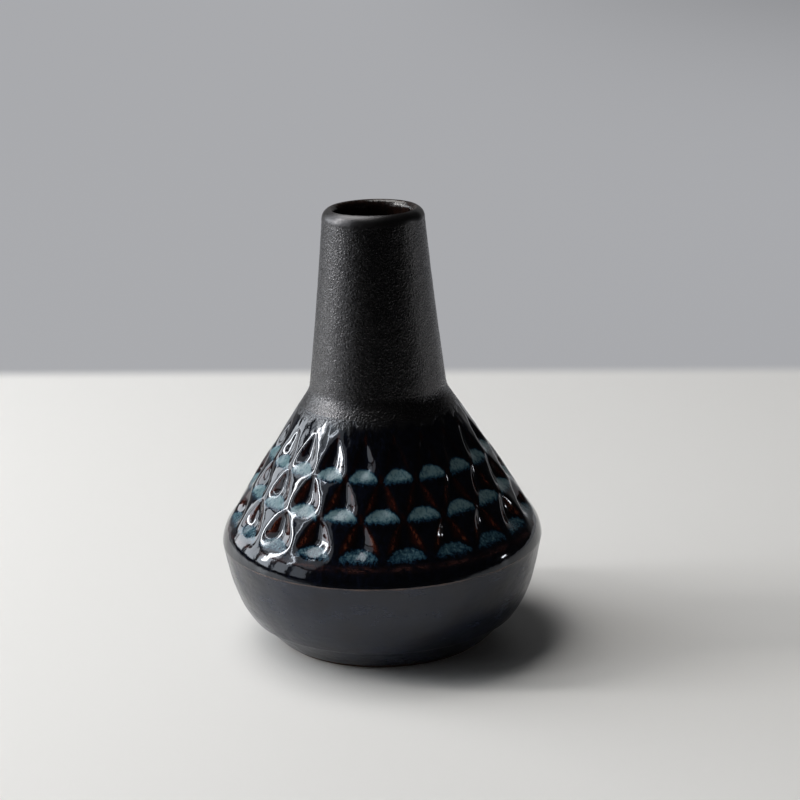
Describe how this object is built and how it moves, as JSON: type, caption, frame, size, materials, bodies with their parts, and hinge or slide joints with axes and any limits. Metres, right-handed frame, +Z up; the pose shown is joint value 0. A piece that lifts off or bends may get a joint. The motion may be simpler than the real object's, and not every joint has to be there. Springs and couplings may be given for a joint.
{
  "type": "stoneware vase",
  "caption": "Bottle-shaped stoneware vase: low bowl on a foot ring, cone shoulder with pressed arch niches in rows, slender tapered neck with a rounded lip, dark glazes.",
  "frame": {"origin": "centre of the foot ring, on the plane that the vase stands on", "axes": "+Z up along the vase's axis, -Y towards the front"},
  "size_m": [0.1106, 0.1106, 0.15],
  "materials": {
    "bare_clay": "unglazed stoneware, matte",
    "body_clay": "fired stoneware under the glaze, matte",
    "satin_glaze": "satin black glaze with a metallic blue-grey sheen",
    "gloss_glaze": "glossy blue-black glaze, teal where it pools and rust brown where it is thin",
    "dry_glaze": "dry black glaze with a sandy grain",
    "liner_glaze": "glossy brown-black glaze",
    "base_glaze": "satin brown-black glaze"
  },
  "bodies": {
    "root": {"foot_ring_clay": "bare_clay", "lower_bowl_clay": "body_clay", "shoulder_wall_clay": "body_clay", "neck_clay": "body_clay", "belly_glaze": "satin_glaze", "shoulder_glaze": "gloss_glaze", "neck_glaze": "dry_glaze", "liner_glaze": "liner_glaze", "base_glaze": "base_glaze"}
  },
  "joints": []
}
